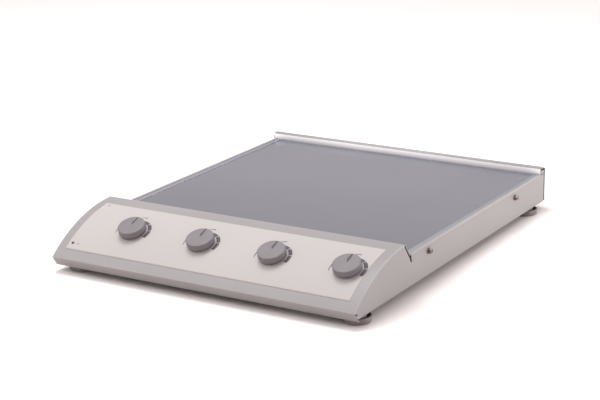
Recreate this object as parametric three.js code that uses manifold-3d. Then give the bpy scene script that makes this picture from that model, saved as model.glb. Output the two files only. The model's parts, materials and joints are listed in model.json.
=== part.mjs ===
// Sixteen position magnetic stirrer: a sheet metal case with a sloping front console, four speed
// knobs, a flush work plate, and below the plate four belt-driven rows of four magnet rotors.
// Millimetres. X is the width, Y the depth with the console at -Y, Z is up. Feet stand on Z = 0.
import * as THREE from 'three';
import { mergeVertices } from 'three/addons/utils/BufferGeometryUtils.js';
import Module from 'manifold-3d';

const wasm = await Module();
wasm.setup();

// ---------------------------------------------------------------- overall sizes
const HALF_W = 250;            // half of the case width
const FRONT_Y = -317.2;        // foremost crease of the console
const BACK_Y = 318;            // outer face of the inlet flange
const SHEET = 1.5;             // sheet metal thickness
const GAP = 0.3;               // clearance between neighbouring pieces
const SIDE_BOTTOM_Z = 12.5;    // lower edge of the side panels
const DECK_Z = 58.3;           // top of the side flanges
const RIM_Z = 69;              // top of the rear rim

// ---------------------------------------------------------------- console
const ARC_Y = -169.8;          // centre of the curved console face
const ARC_Z = -152.4;
const ARC_R = 229.6;
const ARC_TOP_Y = -172.6;      // where the face ends and the rear flange begins
const LIP_Y = -307;            // lower front edge
const LIP_Z = 8.7;
const ARC_STEPS = 22;
const FLANGE_Y = -157.7;       // foot of the rear flange of the console
const FLANGE_Z = 57.6;

// ---------------------------------------------------------------- knobs
const KNOB_X = [-147, -29, 89, 207];
const KNOB_Y = -257;
const KNOB_R = 20.6;
const KNOB_H = 12;
const SHAFT_R = 3;

// ---------------------------------------------------------------- stirring grid
const PITCH = 120;             // distance between stirring positions
const GRID_X = [-180, -60, 60, 180];
const GRID_Y0 = -101;
const ROWS = 4;
const ROTOR_SHAFT_R = 4;
const PULLEY_R = 14;
const BELT_THICK = 1.8;

// ---------------------------------------------------------------- heights inside
const PAN_Z = 12.8;
const ROTOR_Z = 15.2;
const TRAY_Z = 26;
const TRAY_THICK = 2;
const BAR_Z = 43;
const BAR_H = 9;
const PLATE_TOP = 57.2;
const PLATE_THICK = 2;

const group = new THREE.Group();

// ---------------------------------------------------------------- helpers
function look(color, roughness, metalness) {
  return new THREE.MeshStandardMaterial({ color, roughness, metalness });
}

const PAINT = look(0xc2bcbb, 0.45, 0.0);
const DARK_PAINT = look(0x4a4547, 0.5, 0.0);
const PLATE = look(0x8f919b, 0.25, 0.3);
const FRAME = look(0xa0a4ac, 0.35, 0.6);
const LABEL = look(0xdcd5d2, 0.5, 0.0);
const KNOB = look(0xa39a9b, 0.5, 0.0);
const STEEL = look(0xb5b3b0, 0.3, 1.0);
const RUBBER = look(0x6b6263, 0.9, 0.0);
const BLACK = look(0x1c1b1c, 0.6, 0.0);
const BOARD_PAINT = look(0x1d5a38, 0.6, 0.0);
const ZINC = look(0xa8aab0, 0.4, 0.8);
const LENS = look(0x2a2022, 0.2, 0.0);
const MAGNET = look(0x8d8f94, 0.35, 0.8);

function put(name, geometry, material) {
  const mesh = new THREE.Mesh(geometry, material);
  mesh.name = name;
  group.add(mesh);
  return mesh;
}

function solid(geometry) {
  const g = geometry.clone();
  g.deleteAttribute('normal');
  g.deleteAttribute('uv');
  const m = mergeVertices(g, 1e-4);
  const vertProperties = new Float32Array(m.attributes.position.array);
  const triVerts = new Uint32Array(m.index.array);
  return new wasm.Manifold(new wasm.Mesh({ numProp: 3, vertProperties, triVerts }));
}

function geometryOf(manifold) {
  const mesh = manifold.getMesh();
  const g = new THREE.BufferGeometry();
  const positions = new Float32Array(mesh.numVert * 3);
  for (let i = 0; i < mesh.numVert; i += 1) {
    positions[3 * i] = mesh.vertProperties[mesh.numProp * i];
    positions[3 * i + 1] = mesh.vertProperties[mesh.numProp * i + 1];
    positions[3 * i + 2] = mesh.vertProperties[mesh.numProp * i + 2];
  }
  g.setAttribute('position', new THREE.BufferAttribute(positions, 3));
  g.setIndex(new THREE.BufferAttribute(new Uint32Array(mesh.triVerts), 1));
  const flat = g.toNonIndexed();
  flat.computeVertexNormals();
  return flat;
}

// A box given by its two opposite corners.
function box(x0, y0, z0, x1, y1, z1) {
  const g = new THREE.BoxGeometry(x1 - x0, y1 - y0, z1 - z0);
  g.translate((x0 + x1) / 2, (y0 + y1) / 2, (z0 + z1) / 2);
  return g;
}

// A closed (y, z) profile swept along X from x0 to x1.
function sweepX(profile, x0, x1) {
  const shape = new THREE.Shape(profile.map(([y, z]) => new THREE.Vector2(y, z)));
  const g = new THREE.ExtrudeGeometry(shape, { depth: x1 - x0, bevelEnabled: false });
  // Shape X becomes world Y, shape Y becomes world Z, the extrusion becomes world X.
  const turn = new THREE.Matrix4().makeBasis(
    new THREE.Vector3(0, 1, 0),
    new THREE.Vector3(0, 0, 1),
    new THREE.Vector3(1, 0, 0),
  );
  g.applyMatrix4(turn);
  g.translate(x0, 0, 0);
  return g;
}

// A closed (x, z) profile swept along Y from y0 to y1.
function sweepY(profile, y0, y1) {
  const shape = new THREE.Shape(profile.map(([x, z]) => new THREE.Vector2(x, z)));
  const g = new THREE.ExtrudeGeometry(shape, { depth: y1 - y0, bevelEnabled: false });
  g.rotateX(Math.PI / 2);
  g.translate(0, y1, 0);
  return g;
}

// A profile of (radius, height) points turned about the Z axis.
function turned(profile, segments) {
  const points = profile.map(([r, z]) => new THREE.Vector2(r, z));
  const g = new THREE.LatheGeometry(points, segments);
  g.rotateX(Math.PI / 2);
  return g;
}

// A plain cylinder standing on z0.
function rod(radius, z0, z1, segments) {
  return turned([[0, z0], [radius, z0], [radius, z1], [0, z1]], segments);
}

// ---------------------------------------------------------------- console geometry
function arcZ(y, offset) {
  const r = ARC_R + offset;
  return ARC_Z + Math.sqrt(r * r - (y - ARC_Y) * (y - ARC_Y));
}

// Points of the console face from front to back, moved outward by offset.
function arcPoints(yStart, yEnd, offset, steps) {
  const out = [];
  const r = ARC_R + offset;
  const a0 = Math.asin((yStart - ARC_Y) / ARC_R);
  const a1 = Math.asin((yEnd - ARC_Y) / ARC_R);
  for (let i = 0; i <= steps; i += 1) {
    const a = a0 + ((a1 - a0) * i) / steps;
    out.push([ARC_Y + r * Math.sin(a), ARC_Z + r * Math.cos(a)]);
  }
  return out;
}

// The tilt of the face at a given y and the matrix that stands a part on it there.
function onFace(x, y) {
  const tilt = Math.asin((ARC_Y - y) / ARC_R);
  const m = new THREE.Matrix4().makeRotationX(tilt);
  m.setPosition(x, y, arcZ(y, 0));
  return m;
}

function faced(geometry, x, y) {
  const g = geometry.clone();
  g.applyMatrix4(onFace(x, y));
  return g;
}

// ---------------------------------------------------------------- console cover
const BUSH_HOLE_R = 5.2;
const LED_X = -228.3;
const LED_Y = -294;
const LED_R = 2.2;

const outerFace = arcPoints(FRONT_Y, ARC_TOP_Y, 0, ARC_STEPS);
const innerFace = arcPoints(FRONT_Y + 2, ARC_TOP_Y - 1, -SHEET, ARC_STEPS).reverse();
const LIP_DEPTH = 3.6;
const FLANGE_THICK = 1.8;      // the flange slopes, so it measures more along Y
const LIP_INSET = 0.9;
const HOLE_BOTTOM = -8;        // drilling range across the face
const HOLE_TOP = 6;
const coverProfile = [
  [LIP_Y + LIP_DEPTH, LIP_Z],
  [LIP_Y, LIP_Z],
  ...outerFace,
  [FLANGE_Y, FLANGE_Z],
  [FLANGE_Y - FLANGE_THICK, FLANGE_Z],
  ...innerFace,
  [LIP_Y + LIP_INSET, LIP_Z + SHEET],
  [LIP_Y + LIP_DEPTH, LIP_Z + SHEET],
].reverse();
let cover = solid(sweepX(coverProfile, -HALF_W, HALF_W));
for (const x of KNOB_X) {
  cover = cover.subtract(solid(faced(rod(BUSH_HOLE_R, HOLE_BOTTOM, HOLE_TOP, 20), x, KNOB_Y)));
}
cover = cover.subtract(solid(faced(rod(LED_R + GAP, HOLE_BOTTOM, HOLE_TOP, 14), LED_X, LED_Y)));
put('console_cover', geometryOf(cover), PAINT);

// ---------------------------------------------------------------- control label
const LABEL_HALF = 235;
const LABEL_Y0 = -303.3;
const LABEL_Y1 = -199.6;
const LABEL_LIFT = 0.3;
const LABEL_THICK = 0.4;
const LABEL_STEPS = 16;
const labelProfile = [
  ...arcPoints(LABEL_Y0, LABEL_Y1, LABEL_LIFT, LABEL_STEPS),
  ...arcPoints(LABEL_Y0, LABEL_Y1, LABEL_LIFT + LABEL_THICK, LABEL_STEPS).reverse(),
];
const NUT_HOLE_R = 9.5;
let label = solid(sweepX(labelProfile, -LABEL_HALF, LABEL_HALF));
for (const x of KNOB_X) {
  label = label.subtract(solid(faced(rod(NUT_HOLE_R, HOLE_BOTTOM, HOLE_TOP, 20), x, KNOB_Y)));
}
label = label.subtract(solid(faced(rod(LED_R + 0.8, HOLE_BOTTOM, HOLE_TOP, 14), LED_X, LED_Y)));
put('control_label', geometryOf(label), LABEL);

// ---------------------------------------------------------------- side panels
const FLANGE_W = 5;            // width of the inward top flange
const SLIT_TOP = [-154.8, DECK_Z];
const SLIT_FLOOR_BACK = [-152.2, 46.5];
const SLIT_FLOOR_FRONT = [-156.4, 46.8];
const SLIT_FRONT = [-162.2, 57];
const CHEEK_TOP_Y = -177;
const CHEEK_FOOT_Y = -305.4;
const PANEL_BACK_Y = 311.2;
const CHEEK_INSET = 2.2;       // the cheek starts a little behind the crease
const cheekFace = arcPoints(FRONT_Y + CHEEK_INSET, CHEEK_TOP_Y, -SHEET - GAP, ARC_STEPS);
const sidePanelProfile = [
  [PANEL_BACK_Y, SIDE_BOTTOM_Z],
  [PANEL_BACK_Y, DECK_Z],
  SLIT_TOP,
  SLIT_FLOOR_BACK,
  SLIT_FLOOR_FRONT,
  SLIT_FRONT,
  ...cheekFace.slice().reverse(),
  [CHEEK_FOOT_Y, SIDE_BOTTOM_Z],
];
const RIM_FRONT_Y = 301.5;
for (const [name, side] of [['left', -1], ['right', 1]]) {
  const inner = side * (HALF_W - SHEET);
  const outer = side * HALF_W;
  const plate = solid(sweepX(sidePanelProfile, Math.min(inner, outer), Math.max(inner, outer)));
  const x0 = Math.min(outer, side * (HALF_W - FLANGE_W));
  const x1 = Math.max(outer, side * (HALF_W - FLANGE_W));
  const flange = solid(box(x0, SLIT_TOP[0], DECK_Z - SHEET, x1, RIM_FRONT_Y - GAP, DECK_Z));
  put(`side_panel_${name}`, geometryOf(plate.add(flange)), PAINT);
}

// ---------------------------------------------------------------- rear rim and rear panel
const RIM_BACK_Y = 311.2;
const RIM_WALL_Z = 56;
const RETURN_TOP_Z = 64.8;
const rimHalf = HALF_W - SHEET - GAP;
let rim = solid(box(-rimHalf, RIM_FRONT_Y, RIM_WALL_Z, rimHalf, RIM_FRONT_Y + SHEET, RIM_Z));
rim = rim.add(solid(box(-HALF_W, RIM_FRONT_Y, RIM_Z - SHEET, HALF_W, RIM_BACK_Y, RIM_Z)));
const RETURN_IN_X = rimHalf - 1;
for (const side of [-1, 1]) {
  const x0 = Math.min(side * HALF_W, side * RETURN_IN_X);
  const x1 = Math.max(side * HALF_W, side * RETURN_IN_X);
  rim = rim.add(solid(box(x0, RIM_FRONT_Y, DECK_Z + GAP, x1, RIM_BACK_Y, RETURN_TOP_Z)));
}
put('rear_rim', geometryOf(rim), PAINT);

const REAR_Y0 = 315.1;
const REAR_Y1 = 316.6;
const TRAY_EDGE_Y = RIM_BACK_Y + 0.4;
const REAR_HALF = HALF_W - 0.2;
const REAR_Z0 = SIDE_BOTTOM_Z + 0.5;
const THROUGH = 5;             // how far a cutter runs past the sheet
const REAR_TOP_Z = 66.5;
const INLET_X = -190;
const INLET_Z = 36;
const INLET_HALF = [13.6, 10];
const SWITCH_X = -138;
const SWITCH_HALF = [6.8, 9.8];
let rear = solid(box(-REAR_HALF, TRAY_EDGE_Y, REAR_Z0, REAR_HALF, REAR_Y1, REAR_TOP_Z));
rear = rear.subtract(solid(box(
  -REAR_HALF + SHEET, TRAY_EDGE_Y - 1, REAR_Z0 + SHEET,
  REAR_HALF - SHEET, REAR_Y0, REAR_TOP_Z - SHEET,
)));
rear = rear.subtract(solid(box(
  INLET_X - INLET_HALF[0], REAR_Y0 - THROUGH, INLET_Z - INLET_HALF[1],
  INLET_X + INLET_HALF[0], REAR_Y1 + THROUGH, INLET_Z + INLET_HALF[1],
)));
rear = rear.subtract(solid(box(
  SWITCH_X - SWITCH_HALF[0], REAR_Y0 - THROUGH, INLET_Z - SWITCH_HALF[1],
  SWITCH_X + SWITCH_HALF[0], REAR_Y1 + THROUGH, INLET_Z + SWITCH_HALF[1],
)));
const VENT_COUNT = 12;
const VENT_PITCH = 9;
const VENT_X0 = 60;
const VENT_W = 3;
const VENT_Z = [24, 48];
for (let i = 0; i < VENT_COUNT; i += 1) {
  const x = VENT_X0 + i * VENT_PITCH;
  const slot = box(x, REAR_Y0 - THROUGH, VENT_Z[0], x + VENT_W, REAR_Y1 + THROUGH, VENT_Z[1]);
  rear = rear.subtract(solid(slot));
}
put('rear_panel', geometryOf(rear), DARK_PAINT);

// ---------------------------------------------------------------- base pan
const PAN_HALF = HALF_W - SHEET - GAP;
const PAN_WALL_Z = 54;
const panProfile = [
  [-PAN_HALF, PAN_Z],
  [PAN_HALF, PAN_Z],
  [PAN_HALF, PAN_WALL_Z],
  [PAN_HALF - SHEET, PAN_WALL_Z],
  [PAN_HALF - SHEET, PAN_Z + SHEET],
  [-PAN_HALF + SHEET, PAN_Z + SHEET],
  [-PAN_HALF + SHEET, PAN_WALL_Z],
  [-PAN_HALF, PAN_WALL_Z],
];
const PAN_Y0 = -303;
const PAN_Y1 = 310.8;
const SCREW_YZ = [[-101, 48], [197, 48]];
const PAN_WALL_Y0 = -140;
let pan = solid(sweepY(panProfile, PAN_Y0, PAN_Y1));
pan = pan.subtract(solid(box(-HALF_W, PAN_Y0 - 1, PAN_Z + SHEET, HALF_W, PAN_WALL_Y0, RIM_Z)));
put('base_pan', geometryOf(pan), PAINT);

// ---------------------------------------------------------------- side screws
const SCREW_R = 3.8;
const SHANK_R = 1.9;
const SHANK_TAIL = -7;
const SCREW_HEAD = 5;
const WASHER_R = 5;
const WASHER_T = 1;
const CROSS_HALF = 2.3;
const CROSS_DEPTH = 1.4;
const CROSS_W = 0.5;           // half the width of a cross slot
const HEAD_CHAMFER = 0.7;
const HOLE_R = SHANK_R + GAP + 0.1;
const screwProfile = [
  [0, SHANK_TAIL],
  [SHANK_R, SHANK_TAIL],
  [SHANK_R, 0],
  [WASHER_R, 0],
  [WASHER_R, WASHER_T],
  [SCREW_R, WASHER_T],
  [SCREW_R, SCREW_HEAD - HEAD_CHAMFER],
  [SCREW_R - HEAD_CHAMFER, SCREW_HEAD],
  [0, SCREW_HEAD],
];
const crossBottom = SCREW_HEAD - CROSS_DEPTH;
const slotA = solid(box(-CROSS_HALF, -CROSS_W, crossBottom, CROSS_HALF, CROSS_W, SCREW_HEAD + 1));
const slotB = solid(box(-CROSS_W, -CROSS_HALF, crossBottom, CROSS_W, CROSS_HALF, SCREW_HEAD + 1));
const screwHead = geometryOf(solid(turned(screwProfile, 20)).subtract(slotA).subtract(slotB));
const sideTurn = (side) => new THREE.Matrix4().makeRotationY((side * Math.PI) / 2);

// Clearance holes for the screw shanks in every sheet they cross.
function drillForScrews(body, side) {
  let out = body;
  for (const [y, z] of SCREW_YZ) {
    const hole = rod(HOLE_R, -6, 2, 16);
    hole.applyMatrix4(sideTurn(side));
    hole.translate(side * HALF_W, y, z);
    out = out.subtract(solid(hole));
  }
  return out;
}

let screwNumber = 0;
for (const side of [-1, 1]) {
  for (const [y, z] of SCREW_YZ) {
    screwNumber += 1;
    const g = screwHead.clone();
    g.applyMatrix4(sideTurn(side));
    g.translate(side * (HALF_W + GAP), y, z);
    put(`side_screw_${screwNumber}`, g, STEEL);
  }
}
for (const mesh of group.children) {
  if (mesh.name === 'side_panel_left' || mesh.name === 'base_pan') {
    mesh.geometry = geometryOf(drillForScrews(solid(mesh.geometry), -1));
  }
  if (mesh.name === 'side_panel_right' || mesh.name === 'base_pan') {
    mesh.geometry = geometryOf(drillForScrews(solid(mesh.geometry), 1));
  }
}

// ---------------------------------------------------------------- feet
const FOOT_R = 20;
const FOOT_TOP = 9.2;
const FOOT_WALL = 2.4;         // rim round the hollow top of a foot
const FOOT_POCKET_Z = 4.6;
const FOOT_NECK_R = 12.6;
const FOOT_XY = [[-221, -283], [235.3, -283], [-221, 272], [235.3, 272]];
const footProfile = [
  [0, 3],
  [4.5, 3],
  [4.5, 0],
  [FOOT_R - 2.2, 0],
  [FOOT_R - 1, 1.2],
  [FOOT_R, FOOT_TOP - 0.8],
  [FOOT_R - 0.6, FOOT_TOP],
  [FOOT_R - FOOT_WALL + 0.4, FOOT_TOP],
  [FOOT_R - FOOT_WALL, FOOT_POCKET_Z],
  [FOOT_NECK_R, FOOT_POCKET_Z],
  [FOOT_NECK_R, SIDE_BOTTOM_Z],
  [0, SIDE_BOTTOM_Z],
];
FOOT_XY.forEach(([x, y], i) => {
  const g = turned(footProfile, 26);
  g.translate(x, y, 0);
  put(`foot_${i + 1}`, g, RUBBER);
});

// ---------------------------------------------------------------- deck frame and work plate
const FRAME_HALF = HALF_W - FLANGE_W - GAP;
const FRAME_W = 8.7;
const PLATE_GAP = 0.7;         // visible joint between the plate and its frame
const FRAME_TOP = 57.8;
const FRAME_Y0 = -157.2;
const FRAME_Y1 = RIM_FRONT_Y - GAP;
const LEDGE = 6;
const LEDGE_Z = 53;
const plateHalf = FRAME_HALF - FRAME_W - PLATE_GAP;
const plateY0 = FRAME_Y0 + FRAME_W + PLATE_GAP;
const plateBottom = PLATE_TOP - PLATE_THICK;
let frame = solid(box(-FRAME_HALF, FRAME_Y0, LEDGE_Z, FRAME_HALF, FRAME_Y1, FRAME_TOP));
const seatY1 = FRAME_Y1 + 1;
const seatX = plateHalf + PLATE_GAP;
const seatY0 = plateY0 - PLATE_GAP;
const seat = box(-seatX, seatY0, plateBottom - GAP, seatX, seatY1, FRAME_TOP + 1);
frame = frame.subtract(solid(seat));
frame = frame.subtract(solid(box(
  -plateHalf + LEDGE, plateY0 + LEDGE, LEDGE_Z - 1,
  plateHalf - LEDGE, FRAME_Y1 - LEDGE, FRAME_TOP + 1,
)));
put('deck_frame', geometryOf(frame), FRAME);
put('work_plate', box(-plateHalf, plateY0, plateBottom, plateHalf, FRAME_Y1, PLATE_TOP), PLATE);

// ---------------------------------------------------------------- potentiometers, shafts, knobs
const POT_BODY_R = 12;
const POT_TOP = -SHEET - GAP - 0.5;
const POT_BOTTOM = -16;
const BUSH_R = 4.6;
const BUSH_TOP = 4.4;
const NUT_FLAT_R = 7;
const NUT_Z0 = 0.3;
const NUT_Z1 = 3;
const BORE_BOTTOM = -12;
const BORE_R = SHAFT_R + GAP + 0.1;
const TAG_X = [-5, 0, 5];      // solder tags
const potProfile = [
  [0, POT_BOTTOM],
  [POT_BODY_R, POT_BOTTOM],
  [POT_BODY_R, POT_TOP],
  [BUSH_R, POT_TOP],
  [BUSH_R, BUSH_TOP],
  [BORE_R, BUSH_TOP],
  [BORE_R, BORE_BOTTOM],
  [0, BORE_BOTTOM],
];
const nut = solid(rod(NUT_FLAT_R, NUT_Z0, NUT_Z1, 6))
  .subtract(solid(rod(BUSH_R - 0.3, HOLE_BOTTOM, HOLE_TOP, 20)));
let pot = solid(turned(potProfile, 18)).add(nut);
const TAG_END = -19;
for (const x of TAG_X) {
  const tag = box(x - 1, TAG_END, POT_BOTTOM + 1, x + 1, -POT_BODY_R + 2, POT_BOTTOM + 2);
  pot = pot.add(solid(tag));
}
const potGeometry = geometryOf(pot);

const SHAFT_BOTTOM = BORE_BOTTOM + GAP;
const SHAFT_TOP = 10;
const FLAT_DEPTH = 0.8;        // the D flat that the knob grips
const FLAT_Z = 6;
const flatCut = box(-SHAFT_R - 1, SHAFT_R - FLAT_DEPTH, FLAT_Z, SHAFT_R + 1, SHAFT_R + 2, SHAFT_TOP + 1);
const shaftGeometry = geometryOf(
  solid(rod(SHAFT_R, SHAFT_BOTTOM, SHAFT_TOP, 16)).subtract(solid(flatCut)),
);

const KNOB_BOTTOM = 1.2;
const KNOB_RECESS_R = 12;
const KNOB_RECESS_Z = 5.2;
const knobProfile = [
  [0, SHAFT_TOP + GAP],
  [SHAFT_R + GAP, SHAFT_TOP + GAP],
  [SHAFT_R + GAP, KNOB_RECESS_Z],
  [KNOB_RECESS_R, KNOB_RECESS_Z],
  [KNOB_RECESS_R, KNOB_BOTTOM],
  [KNOB_R - 0.3, KNOB_BOTTOM],
  [KNOB_R, KNOB_BOTTOM + 0.5],
  [KNOB_R - 0.3, KNOB_H - 1.6],
  [KNOB_R - 0.7, KNOB_H - 0.6],
  [KNOB_R - 1.7, KNOB_H],
  [0, KNOB_H],
];
const GROOVE_HALF = 0.6;
const GROOVE_DEPTH = 0.7;
const GROOVE_Y = [3.5, 18];
const grooveBox = box(
  -GROOVE_HALF, GROOVE_Y[0], KNOB_H - GROOVE_DEPTH,
  GROOVE_HALF, GROOVE_Y[1], KNOB_H + 1,
);
const knobGeometry = geometryOf(solid(turned(knobProfile, 40)).subtract(solid(grooveBox)));
KNOB_X.forEach((x, i) => {
  put(`potentiometer_${i + 1}`, faced(potGeometry, x, KNOB_Y), ZINC);
  put(`pot_shaft_${i + 1}`, faced(shaftGeometry, x, KNOB_Y), STEEL);
  put(`knob_${i + 1}`, faced(knobGeometry, x, KNOB_Y), KNOB);
});

// ---------------------------------------------------------------- power indicator
const LED_COLLAR_R = LED_R + 0.9;
const LED_TAIL = -7;
const ledProfile = [
  [0, LED_TAIL],
  [LED_COLLAR_R, LED_TAIL],
  [LED_COLLAR_R, POT_TOP],
  [LED_R, POT_TOP],
  [LED_R, 0.8],
  [LED_R * 0.7, 1.4],
  [0, 1.7],
];
put('power_led', faced(turned(ledProfile, 16), LED_X, LED_Y), LENS);

// ---------------------------------------------------------------- drive below the plate
const TRAY_HOLE_R = ROTOR_SHAFT_R + 0.6;
const TRAY_HALF = 226;
const TRAY_Y0 = -150;
const TRAY_Y1 = 290;
const FLOOR_Z = PAN_Z + SHEET + GAP;
const trayProfile = [
  [-TRAY_HALF, FLOOR_Z],
  [-TRAY_HALF + TRAY_THICK, FLOOR_Z],
  [-TRAY_HALF + TRAY_THICK, TRAY_Z],
  [TRAY_HALF - TRAY_THICK, TRAY_Z],
  [TRAY_HALF - TRAY_THICK, FLOOR_Z],
  [TRAY_HALF, FLOOR_Z],
  [TRAY_HALF, TRAY_Z + TRAY_THICK],
  [-TRAY_HALF, TRAY_Z + TRAY_THICK],
];
let tray = solid(sweepY(trayProfile, TRAY_Y0, TRAY_Y1));
for (const x of GRID_X) {
  for (let row = 0; row < ROWS; row += 1) {
    const hole = rod(TRAY_HOLE_R, TRAY_Z - 2, TRAY_Z + TRAY_THICK + 2, 12);
    hole.translate(x, GRID_Y0 + row * PITCH, 0);
    tray = tray.subtract(solid(hole));
  }
}
put('drive_tray', geometryOf(tray), ZINC);

const BAR_HALF_L = 26;
const BAR_HALF_W = 9;
const PULLEY_TOP = TRAY_Z - 1.6;
const PULLEY_RIM = 2;          // flange that keeps the belt on
const PULLEY_RIM_H = 1.5;
const rotorProfile = [
  [0, ROTOR_Z],
  [PULLEY_R + PULLEY_RIM, ROTOR_Z],
  [PULLEY_R + PULLEY_RIM, ROTOR_Z + PULLEY_RIM_H],
  [PULLEY_R, ROTOR_Z + PULLEY_RIM_H],
  [PULLEY_R, PULLEY_TOP],
  [ROTOR_SHAFT_R, PULLEY_TOP],
  [ROTOR_SHAFT_R, BAR_Z + 0.5],
  [0, BAR_Z + 0.5],
];
const bar = box(-BAR_HALF_L, -BAR_HALF_W, BAR_Z, BAR_HALF_L, BAR_HALF_W, BAR_Z + BAR_H);
const rotorGeometry = geometryOf(solid(turned(rotorProfile, 12)).add(solid(bar)));

const MOTOR_R = 21;
const MOTOR_Z0 = TRAY_Z + TRAY_THICK + GAP;
const MOTOR_Z1 = 40;
const MOTOR_BORE_R = ROTOR_SHAFT_R + 0.7;
const MOTOR_CHAMFER = 1.5;
const motorGeometry = turned([
  [MOTOR_BORE_R, MOTOR_Z0],
  [MOTOR_R, MOTOR_Z0],
  [MOTOR_R, MOTOR_Z1 - MOTOR_CHAMFER],
  [MOTOR_R - MOTOR_CHAMFER, MOTOR_Z1],
  [MOTOR_BORE_R, MOTOR_Z1],
  [MOTOR_BORE_R, MOTOR_Z0],
], 24);

// A closed belt round a straight row of pulleys, as an outer loop with an inner hole.
function stadium(radius, half, steps) {
  const points = [];
  for (let end = 0; end < 2; end += 1) {
    for (let i = 0; i <= steps; i += 1) {
      const a = end * Math.PI + (Math.PI * i) / steps;
      const y = end === 0 ? half : -half;
      points.push(new THREE.Vector2(radius * Math.cos(a), y + radius * Math.sin(a)));
    }
  }
  return points;
}
const BELT_R = PULLEY_R + GAP + 0.1;
const BELT_Z0 = ROTOR_Z + 1.9;
const BELT_Z1 = PULLEY_TOP - 0.4;
const rowHalf = (PITCH * (ROWS - 1)) / 2;
const beltShape = new THREE.Shape(stadium(BELT_R + BELT_THICK, rowHalf, 12));
beltShape.holes.push(new THREE.Path(stadium(BELT_R, rowHalf, 12).reverse()));
const beltGeometry = new THREE.ExtrudeGeometry(
  beltShape,
  { depth: BELT_Z1 - BELT_Z0, bevelEnabled: false },
);

GRID_X.forEach((x, i) => {
  const motor = motorGeometry.clone();
  motor.translate(x, GRID_Y0, 0);
  put(`drive_motor_${i + 1}`, motor, ZINC);
  const belt = beltGeometry.clone();
  belt.translate(x, GRID_Y0 + rowHalf, BELT_Z0);
  put(`drive_belt_${i + 1}`, belt, BLACK);
  for (let row = 0; row < ROWS; row += 1) {
    const rotor = rotorGeometry.clone();
    rotor.translate(x, GRID_Y0 + row * PITCH, 0);
    put(`rotor_${i + 1}_${row + 1}`, rotor, MAGNET);
  }
});

// ---------------------------------------------------------------- electronics
const BOARD_Z = 18;
const BOARD_T = 1.6;
const BOARD = {
  x0: -158, x1: 238, y0: -280, y1: -178,
};
const POST_R = 3;
const POST_X = [-150, 40, 212];
const POST_Y = [-254, -186];
// Per channel: a power driver towards the rear and a plug for the potentiometer before it.
const DRIVER = { half: 12, y0: -215, y1: -195, top: BOARD_Z + 12 };
const PLUG = { half: 6, y0: -240, y1: -232, top: BOARD_Z + 8 };
let board = solid(box(BOARD.x0, BOARD.y0, BOARD_Z, BOARD.x1, BOARD.y1, BOARD_Z + BOARD_T));
for (const x of POST_X) {
  for (const y of POST_Y) {
    const post = rod(POST_R, FLOOR_Z, BOARD_Z + 0.5, 10);
    post.translate(x, y, 0);
    board = board.add(solid(post));
  }
}
for (const x of KNOB_X) {
  for (const part of [DRIVER, PLUG]) {
    const block = box(x - part.half, part.y0, BOARD_Z + 1, x + part.half, part.y1, part.top);
    board = board.add(solid(block));
  }
}
put('control_board', geometryOf(board), BOARD_PAINT);

const PSU = {
  x0: -238, x1: -168, y0: -268, y1: -176, z1: 42,
};
const TERMINALS = {
  x0: -223, x1: -183, y1: -167, z0: 22, z1: 32,
};
let psu = solid(box(PSU.x0, PSU.y0, FLOOR_Z, PSU.x1, PSU.y1, PSU.z1));
psu = psu.add(solid(box(
  TERMINALS.x0, PSU.y1 - 1, TERMINALS.z0,
  TERMINALS.x1, TERMINALS.y1, TERMINALS.z1,
)));
put('power_supply', geometryOf(psu), ZINC);

// ---------------------------------------------------------------- power inlet
const INLET_BODY_Y0 = 293;
const SOCKET_HALF = [11.6, 7.6];
const SOCKET_Y0 = 300;
const INLET_FLANGE = [17, 12.5];
const SEAT_Y = REAR_Y1 + GAP;
let inlet = solid(box(
  INLET_X - INLET_HALF[0] + GAP, INLET_BODY_Y0, INLET_Z - INLET_HALF[1] + GAP,
  INLET_X + INLET_HALF[0] - GAP, SEAT_Y + 0.5, INLET_Z + INLET_HALF[1] - GAP,
));
inlet = inlet.add(solid(box(
  INLET_X - INLET_FLANGE[0], SEAT_Y, INLET_Z - INLET_FLANGE[1],
  INLET_X + INLET_FLANGE[0], BACK_Y, INLET_Z + INLET_FLANGE[1],
)));
inlet = inlet.subtract(solid(box(
  INLET_X - SOCKET_HALF[0], SOCKET_Y0, INLET_Z - SOCKET_HALF[1],
  INLET_X + SOCKET_HALF[0], BACK_Y + THROUGH, INLET_Z + SOCKET_HALF[1],
)));
const PIN_END_Y = 313;
const PIN_HALF = [1, 2];
const PIN_XZ = [[-7, -2], [0, 2], [7, -2]];
for (const [dx, dz] of PIN_XZ) {
  inlet = inlet.add(solid(box(
    INLET_X + dx - PIN_HALF[0], SOCKET_Y0 - 1, INLET_Z + dz - PIN_HALF[1],
    INLET_X + dx + PIN_HALF[0], PIN_END_Y, INLET_Z + dz + PIN_HALF[1],
  )));
}
put('power_inlet', geometryOf(inlet), BLACK);

// ---------------------------------------------------------------- mains switch
const SWITCH_BODY_Y0 = 300;
const SWITCH_FACE_Y = 317.6;
const SWITCH_FLANGE = [8.6, 11.6];
const WELL_HALF = [5.2, 8];
const WELL_Y0 = 305;
let housing = solid(box(
  SWITCH_X - SWITCH_HALF[0] + GAP, SWITCH_BODY_Y0, INLET_Z - SWITCH_HALF[1] + GAP,
  SWITCH_X + SWITCH_HALF[0] - GAP, SEAT_Y + 0.5, INLET_Z + SWITCH_HALF[1] - GAP,
));
housing = housing.add(solid(box(
  SWITCH_X - SWITCH_FLANGE[0], SEAT_Y, INLET_Z - SWITCH_FLANGE[1],
  SWITCH_X + SWITCH_FLANGE[0], SWITCH_FACE_Y, INLET_Z + SWITCH_FLANGE[1],
)));
housing = housing.subtract(solid(box(
  SWITCH_X - WELL_HALF[0], WELL_Y0, INLET_Z - WELL_HALF[1],
  SWITCH_X + WELL_HALF[0], BACK_Y + THROUGH, INLET_Z + WELL_HALF[1],
)));
put('switch_housing', geometryOf(housing), BLACK);

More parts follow.
